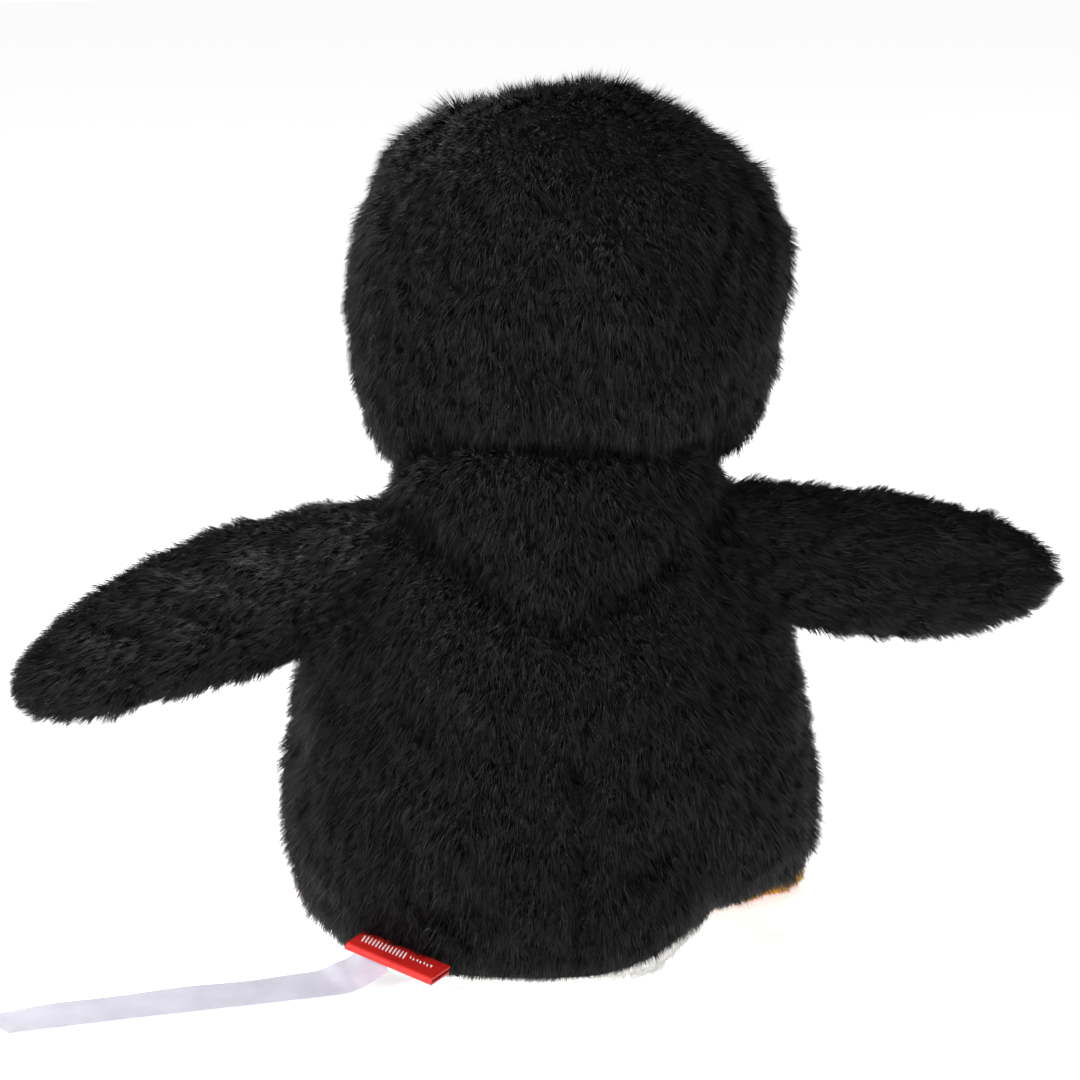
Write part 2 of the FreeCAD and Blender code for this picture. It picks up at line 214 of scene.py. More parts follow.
def make_pile(name, skin, chosen, materials, count, length, lean, flow, seed, width=0.13, trim=None):
    """Strands of pile as closed three-sided tapers, rooted at random on the chosen faces.

    length and width are in millimetres, lean in degrees from the surface's normal. flow gives the
    way the pile is brushed at each root, and trim the share of the length that it keeps there.
    """
    rng = np.random.default_rng(seed)
    width = width / math.sqrt(STRAND_SHARE)
    points, quads, normals = skin.cut(chosen)
    tris = np.concatenate([quads[:, [0, 1, 2]], quads[:, [0, 2, 3]]])
    corner = points[tris]
    area = np.linalg.norm(np.cross(corner[:, 1] - corner[:, 0], corner[:, 2] - corner[:, 0]), axis=1)
    count = int(count * STRAND_SHARE)
    pick = rng.choice(len(tris), count, p=area / area.sum())
    a, b = rng.random(count), rng.random(count)
    flip = a + b > 1
    a, b = np.where(flip, 1 - a, a), np.where(flip, 1 - b, b)
    share = np.stack([1 - a - b, a, b], 1)[:, :, None]
    root = (corner[pick] * share).sum(1)
    normal = unit((normals[tris[pick]] * share).sum(1))

    along = flow(root)
    along = unit(along - (along * normal).sum(1, keepdims=True) * normal)
    sway = waves(root, 9.0, seed + 1) * TUFT + waves(root, 3.2, seed + 2) * TUFT * 0.9
    sway += rng.normal(size=(count, 3)) * 0.16
    angle = np.radians(lean + rng.normal(size=count) * 7.0)[:, None]
    aim = unit(normal * np.cos(angle) + along * np.sin(angle) + sway * 0.55)
    inward = (aim * normal).sum(1, keepdims=True)
    aim = unit(aim + normal * np.maximum(0.22 - inward, 0))

    long = length * rng.uniform(0.72, 1.12, count) * (1 + 0.12 * waves(root, 14.0, seed + 3)[:, 0])
    if trim is not None:
        long = long * trim(root)
    keep = long > 0.15 * length
    root, normal, aim, long = root[keep], normal[keep], aim[keep], long[keep]
    tip = root + aim * long[:, None]
    tip[:, 2] = np.maximum(tip[:, 2], LOWEST_STRAND)
    foot = root - normal * 0.25
    foot[:, 2] = np.maximum(foot[:, 2], LOWEST_STRAND)
    side = unit(np.cross(aim, normal))
    up = np.cross(side, aim)
    spread = width * rng.uniform(0.75, 1.2, len(root))[:, None]
    ring = [foot + (side * math.cos(t) + up * math.sin(t)) * spread
            for t in (0.5, 0.5 + 2 * math.pi / 3, 0.5 + 4 * math.pi / 3)]
    points = np.stack([*ring, tip], 1).reshape(-1, 3)
    start = np.arange(len(root))[:, None, None] * 4
    faces = (start + np.array([[0, 1, 3], [1, 2, 3], [2, 0, 3], [2, 1, 0]])).reshape(-1, 3)
    pile = make_mesh(name, points, faces, materials[0])
    for material in materials[1:]:
        pile.data.materials.append(material)
    shade = rng.choice(len(materials), len(root), p=STRAND_TONES / STRAND_TONES.sum())
    pile.data.polygons.foreach_set("material_index", np.repeat(shade, 4).astype(np.int32))
    return pile


# ---------------------------------------------------------------- materials
def nodes_of(name):
    material = bpy.data.materials.new(name)
    material.use_nodes = True
    tree = material.node_tree
    return material, tree, tree.nodes["Principled BSDF"]


def noise(tree, scale, detail=3.0, rough=0.55):
    """Noise over the piece's own coordinates; scale is in features per metre."""
    coordinate = tree.nodes.new("ShaderNodeTexCoord")
    texture = tree.nodes.new("ShaderNodeTexNoise")
    texture.inputs["Scale"].default_value = scale
    texture.inputs["Detail"].default_value = detail
    texture.inputs["Roughness"].default_value = rough
    tree.links.new(coordinate.outputs["Object"], texture.inputs["Vector"])
    return texture


def ramp(tree, source, stops):
    node = tree.nodes.new("ShaderNodeValToRGB")
    for element, (place, colour) in zip(node.color_ramp.elements, (stops[0], stops[-1])):
        element.position, element.color = place, (*colour, 1)
    for place, colour in stops[1:-1]:
        node.color_ramp.elements.new(place).color = (*colour, 1)
    tree.links.new(source, node.inputs["Fac"])
    return node


def bump(tree, source, shader, strength, distance):
    node = tree.nodes.new("ShaderNodeBump")
    node.inputs["Strength"].default_value = strength
    node.inputs["Distance"].default_value = distance
    tree.links.new(source, node.inputs["Height"])
    tree.links.new(node.outputs["Normal"], shader.inputs["Normal"])


def fabric_material(name, dark, light, rough=0.85, sheen=0.25, grain=900.0, depth=0.0004):
    """The backing that the pile stands on: mottled cloth with a fine nap."""
    material, tree, shader = nodes_of(name)
    patches = noise(tree, 60.0, 4.0)
    colour = ramp(tree, patches.outputs["Fac"], ((0.3, dark), (0.7, light)))
    tree.links.new(colour.outputs["Color"], shader.inputs["Base Color"])
    nap = noise(tree, grain, 2.0)
    bump(tree, nap.outputs["Fac"], shader, 0.6, depth)
    shader.inputs["Roughness"].default_value = rough
    shader.inputs["Specular IOR Level"].default_value = 0.25
    shader.inputs["Sheen Weight"].default_value = sheen
    shader.inputs["Sheen Roughness"].default_value = 0.45
    return material


def strand_material(name, colour, rough, specular):
    """One tone of pile fibre; each pile mixes three of them, strand by strand."""
    material, _, shader = nodes_of(name)
    shader.inputs["Base Color"].default_value = (*colour, 1)
    shader.inputs["Roughness"].default_value = rough
    shader.inputs["Specular IOR Level"].default_value = specular
    return material


BLACK_PILE = [
    strand_material("black_pile", (0.0011, 0.0011, 0.0013), 0.40, 0.16),
    strand_material("black_pile_soft", (0.0025, 0.0025, 0.003), 0.40, 0.30),
    strand_material("black_pile_pale", (0.008, 0.008, 0.0095), 0.38, 0.55),
]
WHITE_PILE = [
    strand_material("white_pile", (0.80, 0.79, 0.77), 0.75, 0.3),
    strand_material("white_pile_warm", (0.76, 0.74, 0.70), 0.75, 0.3),
    strand_material("white_pile_cool", (0.85, 0.85, 0.86), 0.75, 0.3),
]
YELLOW_PILE = [
    strand_material("yellow_pile", (0.88, 0.50, 0.03), 0.7, 0.3),
    strand_material("yellow_pile_deep", (0.84, 0.38, 0.02), 0.7, 0.3),
    strand_material("yellow_pile_pale", (0.93, 0.60, 0.08), 0.7, 0.3),
]
# Orange for the beak; on the undersides of the feet the same orange is painted shade under their yellow
# plush.
ORANGE_PILE = [
    strand_material("orange_pile", (0.86, 0.24, 0.02), 0.7, 0.3),
    strand_material("orange_pile_deep", (0.78, 0.17, 0.015), 0.7, 0.3),
    strand_material("orange_pile_pale", (0.90, 0.33, 0.04), 0.7, 0.3),
]
BLACK_CLOTH = fabric_material("black_backing", (0.0008, 0.0008, 0.001), (0.0018, 0.0018, 0.002),
                              0.9, 0.0)
WHITE_CLOTH = fabric_material("white_backing", (0.62, 0.61, 0.58), (0.76, 0.75, 0.73))
YELLOW_CLOTH = fabric_material("yellow_backing", (0.80, 0.36, 0.02), (0.90, 0.50, 0.04))
# The orange backing is the beak's colour too, and painted shade where it lines the undersides of the
# feet.
ORANGE_CLOTH = fabric_material("orange_backing", (0.76, 0.18, 0.015), (0.88, 0.28, 0.03))


# ---------------------------------------------------------------- torso
BODY_WIDE, BODY_DEEP = 73.0, 57.5
# from the middle of the seat up to the neck: place along the form, share of the width, height
BODY_SIDE = (
    (0.0, 0.02, 0.5), (0.12, 0.30, 0.5), (0.24, 0.56, 0.6), (0.32, 0.72, 2.2), (0.38, 0.83, 6.5),
    (0.44, 0.905, 13.5), (0.50, 0.955, 22.0), (0.57, 0.99, 33.0), (0.64, 1.0, 46.0),
    (0.72, 0.975, 66.0), (0.79, 0.92, 85.0), (0.86, 0.83, 103.0), (0.92, 0.735, 119.0),
    (0.955, 0.64, 129.5), (0.98, 0.58, 136.5), (1.0, 0.45, 142.5),
)
NAPE_EDGE = (-40, 4, 44), (124, 98, 124)       # across, and the height there
# the V that joins the nape's panel to the back
V_SEAM = ((44.0, 124.0), (24.0, 108.0), (4.0, 98.0), (-17.0, 108.0), (-40.0, 124.0))

# soft dimples in the back: across, height, width, depth
DIMPLES = ((-26, 39, 8, 3.8), (-13, 36, 7, 3.4), (-41, 30, 9, 3.2), (14, 44, 8, 1.8),
           (30, 26, 9, 1.6), (-10, 60, 9, 1.5), (22, 70, 10, 1.2))


def body_skin():
    rows, columns = 190, 300
    place = np.linspace(0, 1, rows)
    share, height = profile(BODY_SIDE, 1, place), profile(BODY_SIDE, 2, place)
    turn = round_about(columns)
    x = share[:, None] * BODY_WIDE * np.sin(turn)[None, :]
    y = share[:, None] * BODY_DEEP * np.cos(turn)[None, :]
    z = np.repeat(height[:, None], columns, 1)
    # the seat rolls up on the penguin's right, where it leans off the floor
    lift = 13.0 * smooth(-18, -44, x) * (1 - 0.35 * smooth(-50, -66, x))
    z = z + lift * (1 - smooth(6, 40, z)) * smooth(-40, 0, y)
    # the neck opening sits higher at the back than under the chin
    z = z + smooth(100, 136, z) * 9.0 * np.cos(turn)[None, :] * (y > 0)
    skin = Skin(np.stack([x, y, z], -1))
    x, y, z = skin.points.T
    back = smooth(-5, 20, y)
    low = 1 - smooth(60, 80, z)
    dent = 3.8 * bell(x, 3.2) * back * low * smooth(2, 10, z)
    dent += 2.9 * bell(to_line(x, z, V_SEAM), 4.6) * back
    for side in (1, -1):
        dent += 2.2 * bell(to_line(x, z, ((side * 44, 124), (side * 66, 100))), 4.0) * back
    for at_x, at_z, wide, deep in DIMPLES:
        dent += deep * bell(np.hypot(x - at_x, z - at_z), wide) * back
    inside_v = smooth(0, 12, z - np.interp(x, *NAPE_EDGE)) * back * bell(x, 26)
    swell = 3.0 * inside_v + 4.5 * bell(z - 138, 8) * back * bell(x, 28)
    swell += 1.8 * bell(np.hypot(x + 36, z - 61), 12) * back
    swell += 1.5 * bell(np.hypot(x - 34, z - 55), 16) * back
    lumps = waves(skin.points, 46.0, 5)[:, 0] * 0.9 + waves(skin.points, 19.0, 6)[:, 0] * 0.35
    skin.push((swell - dent + lumps * smooth(3, 20, z)) * smooth(0.8, 4, z))
    skin.points[:, 2] = np.maximum(skin.points[:, 2], 0.45)
    return skin


def seam_height(x, y):
    """Height of the seam between the black back and the white seat, round the body."""
    turn = np.degrees(np.arctan2(x, y))
    return 2.8 + 13.5 * smooth(-1, -42, x) * smooth(-40, 0, y) + 8.0 * smooth(70, 100, turn)


def is_front(x, y, z):
    """True on the white belly panel."""
    turn = np.abs(np.degrees(np.arctan2(x / BODY_WIDE, -y / BODY_DEEP)))
    edge = 66.0 - 10.0 * smooth(60, 120, z)
    return turn < edge


def downwards(root):
    """Brushed down the toy and a little away from the middle of the back."""
    way = np.zeros_like(root)
    way[:, 2] = -1.0
    way[:, 0] = root[:, 0] * 0.006
    return way


def make_torso():
    skin = body_skin()
    x, y, z = skin.centres().T
    seat = z < np.where(is_front(x, y, z), 5.0, seam_height(x, y))
    front = is_front(x, y, z) & ~seat
    nape = (z > np.interp(x, *NAPE_EDGE)) & (y > 0) & (np.abs(x) < 44) & ~front
    back = ~(seat | front | nape)
    parts = (
        ("back_cover_left", back & (x >= 0), BLACK_CLOTH, BLACK_PILE, 44000,
         ["back_panel_left", "closing_stitches"], "black_plush"),
        ("back_cover_right", back & (x < 0), BLACK_CLOTH, BLACK_PILE, 44000,
         ["back_panel_right"], "black_plush"),
        ("nape_cover", nape, BLACK_CLOTH, BLACK_PILE, 15000, ["nape_panel"], "black_plush"),
        ("belly_cover", front, WHITE_CLOTH, WHITE_PILE, 44000, ["belly_panel"], "white_plush"),
        ("seat_cover", seat, WHITE_CLOTH, WHITE_PILE, 26000, ["base_panel"], "white_plush"),
    )

    def short(root):
        """Shorter along the middle seam and by the seat, and clipped where it meets the floor."""
        share = 1 - 0.35 * bell(root[:, 0], 2.5) * (root[:, 1] > 0) * (root[:, 2] < 66)
        above = root[:, 2] - seam_height(root[:, 0], root[:, 1])
        share = share * np.where(above > 0, 0.33 + 0.67 * smooth(0, 11, above), 0.45)
        return share * (1 - 0.75 * smooth(2.2, 0.8, root[:, 2]))

    filling = make_filling("body_filling", skin, 1.6, "body_stuffing")
    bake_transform(filling)
    for seed, (name, chosen, cloth, fibres, count, nodes, slot) in enumerate(parts):
        cover = make_cover(name, skin, chosen, cloth)
        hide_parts(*nodes)
        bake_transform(cover)
        pile = make_pile(name.replace("cover", "pile"), skin, chosen, fibres, count,
                         6.8, 64.0, downwards, 20 + seed, trim=short)
        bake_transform(pile)


# ---------------------------------------------------------------- head
HEAD_WIDE, HEAD_DEEP, HEAD_X = 59.3, 54.0, -4.5
# from the neck up to the crown: place along the form, share of the width, height
HEAD_SIDE = (
    (0.0, 0.42, 138.5), (0.025, 0.64, 137.2), (0.07, 0.725, 141.0), (0.16, 0.88, 150.0),
    (0.30, 0.97, 167.0), (0.44, 1.0, 186.0), (0.56, 0.975, 202.0), (0.66, 0.90, 214.0),
    (0.75, 0.79, 224.0), (0.83, 0.64, 231.5), (0.90, 0.46, 237.5), (0.96, 0.24, 240.8),
    (1.0, 0.015, 241.8),
)
# where each eye is, across and up
EYES = [tuple(sum(corner[axis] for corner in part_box(f"eye_{side}")) / 2 / MM for axis in (0, 2))
        for side in ("left", "right")]


def head_skin():
    rows, columns = 170, 280
    place = np.linspace(0, 1, rows)
    share, height = profile(HEAD_SIDE, 1, place), profile(HEAD_SIDE, 2, place)
    turn = round_about(columns)
    x = share[:, None] * HEAD_WIDE * np.sin(turn)[None, :]
    y = share[:, None] * HEAD_DEEP * np.cos(turn)[None, :]
    z = np.repeat(height[:, None], columns, 1)
    z = z + (1 - smooth(138, 165, z)) * 9.0 * np.cos(turn)[None, :] * (y > 0)
    x = x + HEAD_X * smooth(136, 175, z)
    skin = Skin(np.stack([x, y, z], -1))
    x, y, z = skin.points.T
    back = smooth(-5, 20, y)
    lumps = waves(skin.points, 55.0, 15)[:, 0] * 1.0 + waves(skin.points, 21.0, 16)[:, 0] * 0.35
    lumps += -1.5 * bell(np.hypot(x - 2, z - 175), 8) * back
    lumps += -1.1 * bell(x - HEAD_X, 2.2) * smooth(-30, 0, y) * smooth(200, 236, z)
    face = smooth(-20, -40, y)
    for eye_x, eye_z in EYES:
        lumps -= 1.6 * bell(np.hypot(x - eye_x, z - eye_z), 7.0) * face
    lumps += 2.0 * bell(np.hypot(np.abs(x - HEAD_X) - 24, z - 172), 13) * face
    skin.push(lumps)
    return skin


def is_face(x, y, z):
    """True on the pale face panel: two rounded lobes over the eyes and one broad one under them."""
    side = np.abs(x - HEAD_X)
    lobe = ((side - 17) / 22.0) ** 2 + ((z - 192) / 23.0) ** 2 < 1
    cheeks = (side / 40.0) ** 2 + ((z - 172) / 25.0) ** 2 < 1
    chin = (side < 31 + 0.25 * (172 - z)) & (z < 160)
    return (lobe | cheeks | chin) & (y < 0)


def head_flow(root):
    """Brushed back over the crown and down the back and sides; outwards from the beak on the face."""
    way = np.zeros_like(root)
    way[:, 2] = -1.0
    crown = smooth(222, 240, root[:, 2])
    way[:, 1] += crown * 1.6
    face = smooth(-25, -42, root[:, 1])[:, None]
    out = root - np.array([HEAD_X, 0, 178.0])
    out[:, 1] = 0
    return way * (1 - face) + unit(out) * face


def make_head():
    skin = head_skin()
    x, y, z = skin.centres().T
    face = is_face(x, y, z)
    parts = (
        ("hood_left", ~face & (x >= HEAD_X), BLACK_CLOTH, BLACK_PILE, 48000,
         ["head_panel_left"], "black_plush"),
        ("hood_right", ~face & (x < HEAD_X), BLACK_CLOTH, BLACK_PILE, 48000,
         ["head_panel_right"], "black_plush"),
        ("face_cover", face, WHITE_CLOTH, WHITE_PILE, 36000, ["face_panel"], "white_plush"),
    )

    def short(root):
        """Clipped round the eyes and the beak, and a little shorter over the whole face."""
        share = np.ones(len(root))
        front = root[:, 1] < -30
        for eye_x, eye_z in EYES:
            near = np.hypot(root[:, 0] - eye_x, root[:, 2] - eye_z)
            share = np.where(front, np.minimum(share, 0.12 + 0.88 * smooth(5.0, 12.0, near)), share)
        near = np.hypot((root[:, 0] - HEAD_X) / 1.5, root[:, 2] - 176)
        share = np.where(front, np.minimum(share, 0.3 + 0.7 * smooth(7.0, 15.0, near)), share)
        return share * np.where(root[:, 1] < -20, 0.8, 1.0)

    filling = make_filling("head_filling", skin, 2.0, "head_stuffing")
    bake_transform(filling)
    for seed, (name, chosen, cloth, fibres, count, nodes, slot) in enumerate(parts):
        cover = make_cover(name, skin, chosen, cloth)
        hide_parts(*nodes)
        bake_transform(cover)
        pile = make_pile(f"{name}_pile", skin, chosen, fibres, count,
                         6.8, 63.0, head_flow, 40 + seed, trim=short)
        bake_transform(pile)


# ---------------------------------------------------------------- flippers
# distance out, middle height, half height, half thickness
FLIPPERS = {
    "left": (1, ((44, 109, 19.0, 6.0), (56, 108, 21.0, 7.2), (75, 104.8, 21.3, 8.6),
                 (100, 98.4, 20.3, 8.6), (122, 90.6, 17.0, 7.2), (136, 84.6, 12.6, 5.6),
                 (143, 82.0, 8.6, 4.0), (147, 80.8, 3.6, 2.0), (147.8, 80.6, 0.4, 0.3))),
    "right": (-1, ((44, 112, 17.0, 6.0), (56, 111, 19.0, 7.2), (72, 109.8, 19.8, 8.6),
                   (92, 107.2, 19.6, 8.6), (112, 105.0, 17.2, 7.6), (126, 104.0, 13.6, 6.0),
                   (135, 103.4, 9.6, 4.4), (140.5, 103.0, 4.2, 2.2), (141.6, 103.0, 0.4, 0.3))),
}


def flipper_skin(sign, stations):
    rows, columns = 120, 120
    reach = [s[0] for s in stations]
    ends = np.linspace(0, math.pi / 2, rows)
    out = reach[0] + (reach[-1] - reach[0]) * np.sin(ends)
    middle, half, thick = (profile(stations, k, out) for k in (1, 2, 3))
    turn = round_about(columns)
    # a flat paddle: the section is an oval that pinches towards its sewn edges
    up = np.sin(turn)[None, :] * half[:, None]
    deep = np.sign(np.cos(turn)) * np.abs(np.cos(turn)) ** 1.15
    y = deep[None, :] * thick[:, None]
    lean = 0.42 * (1 - smooth(60, 100, out))[:, None] * up
    x = out[:, None] - lean
    z = middle[:, None] + up
    skin = Skin(np.stack([sign * x, y, z], -1))
    x, y, z = skin.points.T
    lumps = waves(skin.points, 30.0, 25)[:, 0] * 0.5
    axis = np.interp(np.abs(x), reach, [s[1] for s in stations])
    # a crease along the outer half
    lumps -= 1.2 * bell(z - axis - 3, 3.0) * smooth(85, 105, np.abs(x)) * smooth(140, 120, np.abs(x))
    skin.push(lumps * smooth(0.6, 3, np.abs(y)))
    return skin


def make_flipper(side):
    sign, stations = FLIPPERS[side]
    skin = flipper_skin(sign, stations)
    y = skin.centres()[:, 1]

    def to_tip(root):
        way = np.zeros_like(root)
        way[:, 0] = sign
        way[:, 2] = -0.35 if side == "left" else -0.2
        return way

    filling = make_filling(f"flipper_{side}_filling", skin, 1.3, f"flipper_stuffing_{side}")
    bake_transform(filling)
    for number, (face, chosen) in enumerate((("back", y >= 0), ("front", y < 0))):
        cover = make_cover(f"flipper_{side}_{face}_cover", skin, chosen, BLACK_CLOTH, 0.8)
        pile = make_pile(f"flipper_{side}_{face}_pile", skin, chosen, BLACK_PILE, 26000,
                         6.4, 65.0, to_tip, 60 + 2 * sign + number)
        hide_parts(f"flipper_{face}_{side}")
        for piece in (cover, pile):
            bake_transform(piece)


# ---------------------------------------------------------------- feet
# where each heel is sewn on, and how far the foot turns out, in degrees
FEET = {"left": (1, 35.0, -47.0, 20.0), "right": (-1, -42.7, -38.9, 52.0)}
FOOT_LONG, FOOT_BEHIND = 43.5, 9.0       # from the heel to the toes, and behind the heel


def foot_skin(ahead, heel):
    rows, columns = 90, 130
    far = -FOOT_BEHIND + (FOOT_LONG + FOOT_BEHIND) * np.sin(np.linspace(0, math.pi / 2, rows))
    wide = curve(((-9, 7.5), (2, 12.5), (13, 16.6), (25, 18.4), (35, 15.6), (41, 9.5), (43.1, 3.0),
                  (FOOT_LONG, 0.3)), far)
    tall = curve(((-9, 4.0), (2, 6.0), (13, 7.2), (25, 7.2), (35, 6.0), (41, 4.2), (43.1, 1.6),
                  (FOOT_LONG, 0.2)), far)
    turn = round_about(columns)
    side = np.cos(turn)[None, :] * wide[:, None]
    up = np.sin(turn)
    up = np.where(up < 0, -np.abs(up) ** 0.55, up)
    z = 0.9 + tall[:, None] * (1 + up[None, :])
    out = np.repeat(far[:, None], columns, 1)
    # two notches in the front edge leave three toes
    notch = bell(np.abs(side) - 6.2, 1.9) * smooth(24, 43, out)
    out = out - 6.0 * notch * smooth(30, 42, out)
    z = z - 2.0 * notch * smooth(4, 7, z)
    x = heel[0] + out * ahead[0] - side * ahead[1]
    y = heel[1] + out * ahead[1] + side * ahead[0]
    return Skin(np.stack([x, y, z], -1))


def make_foot(side):
    sign, heel_x, heel_y, turn = FEET[side]
    ahead = np.array([sign * math.sin(math.radians(turn)), -math.cos(math.radians(turn)), 0.0])
    heel = np.array([heel_x, heel_y, 4.0])
    skin = foot_skin(ahead, heel)
    z = skin.centres()[:, 2]

    def to_toes(root):
        return np.repeat((ahead + np.array([0, 0, -0.2]))[None], len(root), 0)

    def short(root):
        """Clipped where it meets the floor."""
        return 1 - 0.7 * smooth(3.0, 1.2, root[:, 2])

    filling = make_filling(f"foot_{side}_filling", skin, 1.2, f"foot_stuffing_{side}")
    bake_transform(filling)
    # Yellow over the top and orange underneath: the deeper orange underside is painted shade on the
    # foot's yellow plush.
    top = z > 3.4
    for name, chosen, cloth, fibres, count, slot in (
        ("top", top, YELLOW_CLOTH, YELLOW_PILE, 26000, "yellow_plush"),
        ("sole", ~top, ORANGE_CLOTH, ORANGE_PILE, 12000, "orange_plush"),
    ):
        cover = make_cover(f"foot_{side}_{name}_cover", skin, chosen, cloth, 0.7)
        pile = make_pile(f"foot_{side}_{name}_pile", skin, chosen, fibres, count,
                         3.4, 55.0, to_toes, 80 + sign, trim=short)
        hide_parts(f"foot_{name}_{side}")
        for piece in (cover, pile):
            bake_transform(piece)


# ---------------------------------------------------------------- beak and eyes
# the way out from the face, half width, half height, drop
BEAK = ((-4.0, 12.4, 8.6, 0.0), (2.0, 12.6, 8.8, 0.0), (7.0, 11.4, 8.0, 0.5), (12.0, 9.0, 6.6, 1.3),
        (16.0, 6.2, 4.8, 2.1), (18.3, 3.4, 2.8, 2.6), (19.2, 0.8, 0.7, 2.8))
BEAK_ROOT = (-4.0, -50.5, 176.0)
MOUTH = -2.6 / 8.8             # the seam between the halves, as a share of the half height


def make_beak():
    rows, columns = 70, 90
    out = BEAK[0][0] + (BEAK[-1][0] - BEAK[0][0]) * np.sin(np.linspace(0, math.pi / 2, rows))
    wide, tall, drop = (profile(BEAK, k, out)[:, None] for k in (1, 2, 3))
    turn = round_about(columns)[None, :]

    def to_tip(root):
        return np.repeat(np.array([[0, -1.0, -0.15]]), len(root), 0)

    for name, low, high, shorter in (("upper", MOUTH, 1.0, 1.0), ("lower", -1.0, MOUTH, 0.86)):
        middle, half = (low + high) / 2, (high - low) / 2
        rise = middle + half * np.sin(turn)
        cosine = np.cos(turn)
        reach = np.sqrt(np.maximum(1 - rise ** 2, 0)) * 0.75 + 0.25 * np.abs(cosine)
        x = BEAK_ROOT[0] + np.sign(cosine) * reach * np.abs(cosine) ** 0.8 * wide * 0.98
        y = BEAK_ROOT[1] - out[:, None] * shorter
        z = BEAK_ROOT[2] - drop + rise * tall
        skin = Skin(np.stack(np.broadcast_arrays(x, y, z), -1))
        everything = np.ones(len(skin.quads), bool)
        cover = make_filling(f"beak_{name}_cover", skin, 0.0, f"beak_{name}")
        cover.data.materials[0] = ORANGE_CLOTH
        pile = make_pile(f"beak_{name}_pile", skin, everything, ORANGE_PILE, 9000,
                         1.9, 55.0, to_tip, 95, width=0.1)
        for piece in (cover, pile):
            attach(piece, "head")


def dress_nodes():
    """Materials for the pieces whose shape the solid model already has right."""
    gloss, tree, shader = nodes_of("eye_gloss")
    shader.inputs["Base Color"].default_value = (0.004, 0.0035, 0.0035, 1)
    shader.inputs["Coat Weight"].default_value = 0.6
    shader.inputs["Coat Roughness"].default_value = 0.03
    marks = noise(tree, 700.0, 5.0)
    level = tree.nodes.new("ShaderNodeMapRange")
    level.inputs["To Min"].default_value, level.inputs["To Max"].default_value = 0.05, 0.16
    tree.links.new(marks.outputs["Fac"], level.inputs["Value"])
    tree.links.new(level.outputs["Result"], shader.inputs["Roughness"])

    moulded, tree, shader = nodes_of("washer_plastic")
    grain = noise(tree, 900.0, 3.0)
    tone = ramp(tree, grain.outputs["Fac"], ((0.3, (0.62, 0.62, 0.60)), (0.7, (0.72, 0.72, 0.70))))
    tree.links.new(tone.outputs["Color"], shader.inputs["Base Color"])
    bump(tree, grain.outputs["Fac"], shader, 0.3, 0.0002)
    shader.inputs["Roughness"].default_value = 0.45

    for node, material in (("eye_left", gloss), ("eye_right", gloss),
                           ("eye_washer_left", moulded), ("eye_washer_right", moulded),
                           ("neck_stuffing", FIBRE), ("loop_tag", TAG_WEAVE)):
        mesh = bpy.data.objects[node].data
        mesh.materials.clear()
        mesh.materials.append(material)


# ---------------------------------------------------------------- labels
def weave_material(name, dark, light, pitch, rough, sheen, depth):
    """Woven ribbon: fine threads both ways, so that light breaks up on it."""
    material, tree, shader = nodes_of(name)
    coordinate = tree.nodes.new("ShaderNodeTexCoord")
    threads = []
    for direction in ("X", "Y"):
        wave = tree.nodes.new("ShaderNodeTexWave")
        wave.wave_type, wave.bands_direction = "BANDS", direction
        wave.inputs["Scale"].default_value = pitch
        wave.inputs["Distortion"].default_value = 0.6
        tree.links.new(coordinate.outputs["Object"], wave.inputs["Vector"])
        threads.append(wave)
    both = tree.nodes.new("ShaderNodeMath")
    both.operation = "MULTIPLY"
    tree.links.new(threads[0].outputs["Fac"], both.inputs[0])
    tree.links.new(threads[1].outputs["Fac"], both.inputs[1])
    patches = noise(tree, 120.0, 3.0)
    blend = tree.nodes.new("ShaderNodeMath")
    blend.operation = "MULTIPLY_ADD"
    blend.inputs[1].default_value = 0.4
    tree.links.new(both.outputs["Value"], blend.inputs[0])
    tree.links.new(patches.outputs["Fac"], blend.inputs[2])
    colour = ramp(tree, blend.outputs["Value"], ((0.3, dark), (0.9, light)))
    tree.links.new(colour.outputs["Color"], shader.inputs["Base Color"])
    bump(tree, both.outputs["Value"], shader, 0.5, depth)
    shader.inputs["Roughness"].default_value = rough
    shader.inputs["Sheen Weight"].default_value = sheen
    return material


FIBRE = fabric_material("polyester_fibre", (0.78, 0.78, 0.76), (0.90, 0.90, 0.89),
                        0.9, 0.4, 500.0, 0.001)
TAG_WEAVE = weave_material("red_weave", (0.42, 0.003, 0.002), (0.62, 0.008, 0.003),
                           900.0, 0.55, 0.0, 0.00025)
SATIN = weave_material("white_satin", (0.44, 0.43, 0.51), (0.56, 0.55, 0.63),
                       1500.0, 0.38, 0.0, 0.00008)
THREAD = weave_material("white_thread", (0.78, 0.74, 0.74), (0.90, 0.88, 0.88),
                        1500.0, 0.5, 0.2, 0.0001)

# the ribbon's middle line, and how far it banks: x, y, height of its lower edge, degrees
RIBBON = ((52.5, 33.0, 5.4, 26.0), (57.0, 33.9, 3.0, 24.0), (62.0, 34.8, 1.1, 19.0),
          (68.0, 36.2, 0.4, 14.0), (80.0, 39.0, 0.35, 11.0), (100.0, 43.8, 0.35, 11.0),
          (125.0, 49.8, 0.4, 10.0), (148.0, 55.8, 0.35, 8.0), (160.5, 59.0, 0.3, 5.0))
RIBBON_WIDE, RIBBON_THICK = 14.0, 0.35
TAG_TOP = 1.15                 # half the thickness of the tag's flattened loop


